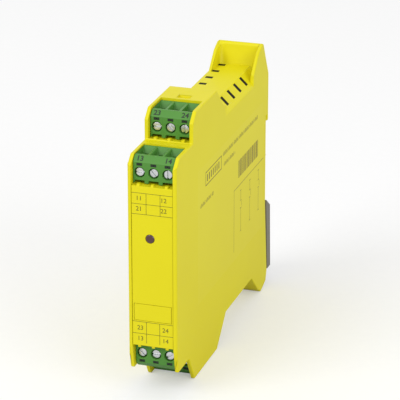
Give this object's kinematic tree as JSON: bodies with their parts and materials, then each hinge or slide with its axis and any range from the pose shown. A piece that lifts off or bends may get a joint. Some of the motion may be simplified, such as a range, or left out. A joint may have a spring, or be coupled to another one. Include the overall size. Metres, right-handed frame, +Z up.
{
  "type": "safety relay",
  "caption": "Slim yellow safety relay housing for a 35 mm rail, with pull-off green screw terminal plugs, a status lamp, roof vents and a sprung rail latch.",
  "frame": {"origin": "middle of the overall box at the height of the lowest point", "axes": "+Z up, front towards -Y, label side towards +X"},
  "size_m": [0.0176, 0.1146, 0.099],
  "materials": {
    "yellow_plastic": "moulded, fine satin grain",
    "green_plastic": "moulded, satin",
    "grey_plastic": "moulded, satin",
    "label_film": "printed film, satin",
    "lamp_lens": "dark tinted lens, unlit",
    "circuit_board": "solder mask",
    "relay_case": "moulded case",
    "capacitor": "sleeved can",
    "header_plastic": "moulded",
    "tinned_copper": "tin plated",
    "screw_steel": "zinc plated",
    "cage_steel": "zinc plated",
    "spring_steel": "bright"
  },
  "bodies": {
    "housing": {"housing": "yellow_plastic", "side_cover": "yellow_plastic", "side_label": "label_film", "front_panel": "yellow_plastic", "marker_strip": "yellow_plastic", "lamp_lens": "lamp_lens", "circuit_board": "circuit_board", "relay_low": "relay_case", "relay_high": "relay_case", "capacitor": "capacitor", "latch_spring": "spring_steel", "header_top_front": "header_plastic", "pins_top_front": "tinned_copper", "header_top_rear": "header_plastic", "pins_top_rear": "tinned_copper", "header_bottom_front": "header_plastic", "pins_bottom_front": "tinned_copper", "header_bottom_rear": "header_plastic", "pins_bottom_rear": "tinned_copper"},
    "plug_top_front": {"plug_top_front": "green_plastic", "contacts_top_front": "tinned_copper"},
    "screw_top_front_1": {"screw_top_front_1": "screw_steel"},
    "cage_top_front_1": {"cage_top_front_1": "cage_steel"},
    "screw_top_front_2": {"screw_top_front_2": "screw_steel"},
    "cage_top_front_2": {"cage_top_front_2": "cage_steel"},
    "screw_top_front_3": {"screw_top_front_3": "screw_steel"},
    "cage_top_front_3": {"cage_top_front_3": "cage_steel"},
    "plug_top_rear": {"plug_top_rear": "green_plastic", "contacts_top_rear": "tinned_copper"},
    "screw_top_rear_1": {"screw_top_rear_1": "screw_steel"},
    "cage_top_rear_1": {"cage_top_rear_1": "cage_steel"},
    "screw_top_rear_2": {"screw_top_rear_2": "screw_steel"},
    "cage_top_rear_2": {"cage_top_rear_2": "cage_steel"},
    "screw_top_rear_3": {"screw_top_rear_3": "screw_steel"},
    "cage_top_rear_3": {"cage_top_rear_3": "cage_steel"},
    "plug_bottom_front": {"plug_bottom_front": "green_plastic", "contacts_bottom_front": "tinned_copper"},
    "screw_bottom_front_1": {"screw_bottom_front_1": "screw_steel"},
    "cage_bottom_front_1": {"cage_bottom_front_1": "cage_steel"},
    "screw_bottom_front_2": {"screw_bottom_front_2": "screw_steel"},
    "cage_bottom_front_2": {"cage_bottom_front_2": "cage_steel"},
    "screw_bottom_front_3": {"screw_bottom_front_3": "screw_steel"},
    "cage_bottom_front_3": {"cage_bottom_front_3": "cage_steel"},
    "plug_bottom_rear": {"plug_bottom_rear": "green_plastic", "contacts_bottom_rear": "tinned_copper"},
    "screw_bottom_rear_1": {"screw_bottom_rear_1": "screw_steel"},
    "cage_bottom_rear_1": {"cage_bottom_rear_1": "cage_steel"},
    "screw_bottom_rear_2": {"screw_bottom_rear_2": "screw_steel"},
    "cage_bottom_rear_2": {"cage_bottom_rear_2": "cage_steel"},
    "screw_bottom_rear_3": {"screw_bottom_rear_3": "screw_steel"},
    "cage_bottom_rear_3": {"cage_bottom_rear_3": "cage_steel"},
    "rail_latch": {"rail_latch": "grey_plastic"}
  },
  "joints": [
    {"name": "plug_top_front_pull", "type": "slide", "parent": "housing", "child": "plug_top_front", "axis": [0, -1, 0], "range_m": [0, 0.012]},
    {"name": "screw_top_front_1_turn", "type": "hinge", "parent": "plug_top_front", "child": "screw_top_front_1", "pos_m": [-0.005, -0.0547, 0.0824], "axis": [0, -1, 0], "range_deg": [0, 1440]},
    {"name": "cage_top_front_1_slide", "type": "slide", "parent": "plug_top_front", "child": "cage_top_front_1", "axis": [0, 1, 0], "range_m": [0, 0.002]},
    {"name": "screw_top_front_2_turn", "type": "hinge", "parent": "plug_top_front", "child": "screw_top_front_2", "pos_m": [0, -0.0547, 0.0824], "axis": [0, -1, 0], "range_deg": [0, 1440]},
    {"name": "cage_top_front_2_slide", "type": "slide", "parent": "plug_top_front", "child": "cage_top_front_2", "axis": [0, 1, 0], "range_m": [0, 0.002]},
    {"name": "screw_top_front_3_turn", "type": "hinge", "parent": "plug_top_front", "child": "screw_top_front_3", "pos_m": [0.005, -0.0547, 0.0824], "axis": [0, -1, 0], "range_deg": [0, 1440]},
    {"name": "cage_top_front_3_slide", "type": "slide", "parent": "plug_top_front", "child": "cage_top_front_3", "axis": [0, 1, 0], "range_m": [0, 0.002]},
    {"name": "plug_top_rear_pull", "type": "slide", "parent": "housing", "child": "plug_top_rear", "axis": [0, -1, 0], "range_m": [0, 0.012]},
    {"name": "screw_top_rear_1_turn", "type": "hinge", "parent": "plug_top_rear", "child": "screw_top_rear_1", "pos_m": [-0.005, -0.0365, 0.0926], "axis": [0, -1, 0], "range_deg": [0, 1440]},
    {"name": "cage_top_rear_1_slide", "type": "slide", "parent": "plug_top_rear", "child": "cage_top_rear_1", "axis": [0, 1, 0], "range_m": [0, 0.002]},
    {"name": "screw_top_rear_2_turn", "type": "hinge", "parent": "plug_top_rear", "child": "screw_top_rear_2", "pos_m": [0, -0.0365, 0.0926], "axis": [0, -1, 0], "range_deg": [0, 1440]},
    {"name": "cage_top_rear_2_slide", "type": "slide", "parent": "plug_top_rear", "child": "cage_top_rear_2", "axis": [0, 1, 0], "range_m": [0, 0.002]},
    {"name": "screw_top_rear_3_turn", "type": "hinge", "parent": "plug_top_rear", "child": "screw_top_rear_3", "pos_m": [0.005, -0.0365, 0.0926], "axis": [0, -1, 0], "range_deg": [0, 1440]},
    {"name": "cage_top_rear_3_slide", "type": "slide", "parent": "plug_top_rear", "child": "cage_top_rear_3", "axis": [0, 1, 0], "range_m": [0, 0.002]},
    {"name": "plug_bottom_front_pull", "type": "slide", "parent": "housing", "child": "plug_bottom_front", "axis": [0, -1, 0], "range_m": [0, 0.012]},
    {"name": "screw_bottom_front_1_turn", "type": "hinge", "parent": "plug_bottom_front", "child": "screw_bottom_front_1", "pos_m": [-0.005, -0.0535, 0.01535], "axis": [0, -1, 0], "range_deg": [0, 1440]},
    {"name": "cage_bottom_front_1_slide", "type": "slide", "parent": "plug_bottom_front", "child": "cage_bottom_front_1", "axis": [0, 1, 0], "range_m": [0, 0.002]},
    {"name": "screw_bottom_front_2_turn", "type": "hinge", "parent": "plug_bottom_front", "child": "screw_bottom_front_2", "pos_m": [0, -0.0535, 0.01535], "axis": [0, -1, 0], "range_deg": [0, 1440]},
    {"name": "cage_bottom_front_2_slide", "type": "slide", "parent": "plug_bottom_front", "child": "cage_bottom_front_2", "axis": [0, 1, 0], "range_m": [0, 0.002]},
    {"name": "screw_bottom_front_3_turn", "type": "hinge", "parent": "plug_bottom_front", "child": "screw_bottom_front_3", "pos_m": [0.005, -0.0535, 0.01535], "axis": [0, -1, 0], "range_deg": [0, 1440]},
    {"name": "cage_bottom_front_3_slide", "type": "slide", "parent": "plug_bottom_front", "child": "cage_bottom_front_3", "axis": [0, 1, 0], "range_m": [0, 0.002]},
    {"name": "plug_bottom_rear_pull", "type": "slide", "parent": "housing", "child": "plug_bottom_rear", "axis": [0, -1, 0], "range_m": [0, 0.012]},
    {"name": "screw_bottom_rear_1_turn", "type": "hinge", "parent": "plug_bottom_rear", "child": "screw_bottom_rear_1", "pos_m": [-0.005, -0.0353, 0.00565], "axis": [0, -1, 0], "range_deg": [0, 1440]},
    {"name": "cage_bottom_rear_1_slide", "type": "slide", "parent": "plug_bottom_rear", "child": "cage_bottom_rear_1", "axis": [0, 1, 0], "range_m": [0, 0.002]},
    {"name": "screw_bottom_rear_2_turn", "type": "hinge", "parent": "plug_bottom_rear", "child": "screw_bottom_rear_2", "pos_m": [0, -0.0353, 0.00565], "axis": [0, -1, 0], "range_deg": [0, 1440]},
    {"name": "cage_bottom_rear_2_slide", "type": "slide", "parent": "plug_bottom_rear", "child": "cage_bottom_rear_2", "axis": [0, 1, 0], "range_m": [0, 0.002]},
    {"name": "screw_bottom_rear_3_turn", "type": "hinge", "parent": "plug_bottom_rear", "child": "screw_bottom_rear_3", "pos_m": [0.005, -0.0353, 0.00565], "axis": [0, -1, 0], "range_deg": [0, 1440]},
    {"name": "cage_bottom_rear_3_slide", "type": "slide", "parent": "plug_bottom_rear", "child": "cage_bottom_rear_3", "axis": [0, 1, 0], "range_m": [0, 0.002]},
    {"name": "rail_latch_slide", "type": "slide", "parent": "housing", "child": "rail_latch", "axis": [0, 0, -1], "range_m": [0, 0.0035], "stiffness_N_per_m": 400, "springref_m": -0.002, "deforming": ["latch_spring"]}
  ],
  "couplings": [
    {"joint": "screw_top_front_1_turn", "follows": "cage_top_front_1_slide", "rad_per_m": 12566},
    {"joint": "screw_top_front_2_turn", "follows": "cage_top_front_2_slide", "rad_per_m": 12566},
    {"joint": "screw_top_front_3_turn", "follows": "cage_top_front_3_slide", "rad_per_m": 12566},
    {"joint": "screw_top_rear_1_turn", "follows": "cage_top_rear_1_slide", "rad_per_m": 12566},
    {"joint": "screw_top_rear_2_turn", "follows": "cage_top_rear_2_slide", "rad_per_m": 12566},
    {"joint": "screw_top_rear_3_turn", "follows": "cage_top_rear_3_slide", "rad_per_m": 12566},
    {"joint": "screw_bottom_front_1_turn", "follows": "cage_bottom_front_1_slide", "rad_per_m": 12566},
    {"joint": "screw_bottom_front_2_turn", "follows": "cage_bottom_front_2_slide", "rad_per_m": 12566},
    {"joint": "screw_bottom_front_3_turn", "follows": "cage_bottom_front_3_slide", "rad_per_m": 12566},
    {"joint": "screw_bottom_rear_1_turn", "follows": "cage_bottom_rear_1_slide", "rad_per_m": 12566},
    {"joint": "screw_bottom_rear_2_turn", "follows": "cage_bottom_rear_2_slide", "rad_per_m": 12566},
    {"joint": "screw_bottom_rear_3_turn", "follows": "cage_bottom_rear_3_slide", "rad_per_m": 12566}
  ]
}
